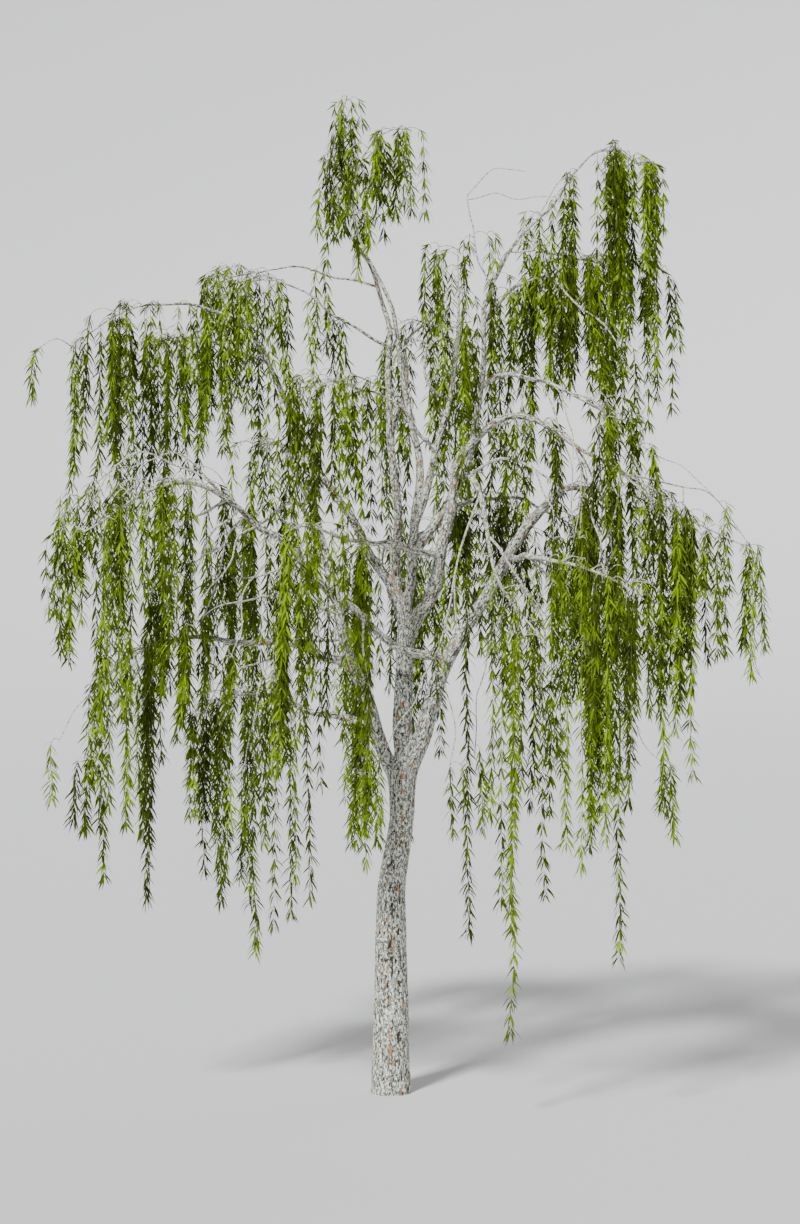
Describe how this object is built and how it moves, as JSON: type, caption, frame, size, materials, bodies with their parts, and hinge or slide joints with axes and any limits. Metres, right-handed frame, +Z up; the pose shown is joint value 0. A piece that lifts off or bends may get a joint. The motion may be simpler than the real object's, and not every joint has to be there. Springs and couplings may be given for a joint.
{
  "type": "weeping willow tree",
  "caption": "Weeping willow with one pale trunk, forked low into rising boughs that arch over and trail long leafy twigs almost to the ground.",
  "frame": {"origin": "middle of the flat cut under the trunk, at ground level", "axes": "+Z up, -Y the side that the picture shows, +X that side's right"},
  "size_m": [7.3122, 5.2183, 9.9665],
  "materials": {
    "bark": "rough pale grey bark, flecked",
    "foliage": "satin yellow-green leaves"
  },
  "bodies": {
    "root": {"trunk": "bark", "heart_stem": "bark", "right_bough": "bark", "left_bough": "bark", "tall_leader": "bark", "top_leader": "bark", "pale_leader": "bark", "middle_bough": "bark", "inner_leader": "bark", "high_bough": "bark", "second_high_bough": "bark", "shelf_bough": "bark", "arch_stem": "bark", "right_arch": "bark", "front_bough": "bark", "low_cross_bough": "bark", "high_cross_bough": "bark", "left_rising_bough": "bark", "left_high_arch": "bark", "left_shelf_bough": "bark", "left_hub_bough": "bark", "left_low_bough": "bark", "left_lowest_bough": "bark", "right_stub_bough": "bark", "back_cross_bough": "bark", "left_top_bough": "bark", "left_back_top_bough": "bark", "back_left_bough": "bark", "back_bough": "bark", "back_right_bough": "bark", "back_high_bough": "bark", "fore_bough": "bark", "left_tuft": "foliage", "right_tuft": "foliage", "inner_right_curtain": "foliage", "high_right_curtain": "foliage", "second_high_curtain": "foliage", "shelf_curtain": "foliage", "far_right_curtain": "foliage", "front_curtain": "foliage", "front_left_curtain": "foliage", "fore_left_curtain": "foliage", "high_left_curtain": "foliage", "left_shelf_curtain": "foliage", "left_hub_curtain": "foliage", "left_low_curtain": "foliage", "left_lowest_curtain": "foliage", "right_stub_curtain": "foliage", "back_cross_curtain": "foliage", "left_top_curtain": "foliage", "left_back_top_curtain": "foliage", "back_left_curtain": "foliage", "back_curtain": "foliage", "back_right_curtain": "foliage", "back_high_curtain": "foliage", "fore_curtain": "foliage", "right_curtain": "foliage", "left_curtain": "foliage"}
  },
  "joints": []
}
